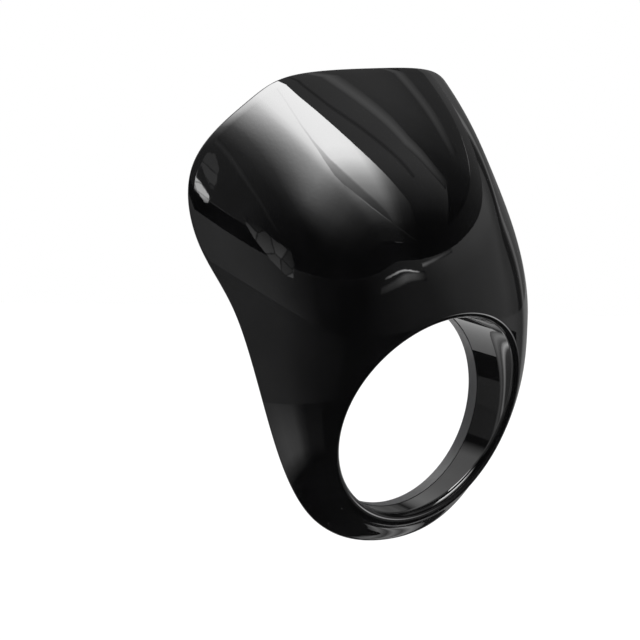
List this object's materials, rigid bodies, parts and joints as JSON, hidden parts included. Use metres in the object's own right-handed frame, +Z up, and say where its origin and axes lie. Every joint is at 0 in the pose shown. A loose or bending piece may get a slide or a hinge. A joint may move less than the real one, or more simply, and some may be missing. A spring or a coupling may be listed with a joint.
{
  "type": "headlight cowl",
  "caption": "Glossy one-piece shell that leans back over a round motorbike lamp, with a rolled lip and tunnel round the lamp and threaded fixings inside.",
  "frame": {"origin": "on the lamp axis, inside the round throat that the lamp's ring sits in", "axes": "+X to the rider's left, +Y along the lamp axis to the rear, +Z up"},
  "size_m": [0.3006, 0.167, 0.3602],
  "materials": {
    "gloss_black_shell": "gloss",
    "insert_brass": "machined"
  },
  "bodies": {
    "root": {"cowl_shell": "gloss_black_shell", "insert_upper_left": "insert_brass", "insert_upper_right": "insert_brass", "insert_lower_left": "insert_brass", "insert_lower_right": "insert_brass"}
  },
  "joints": []
}
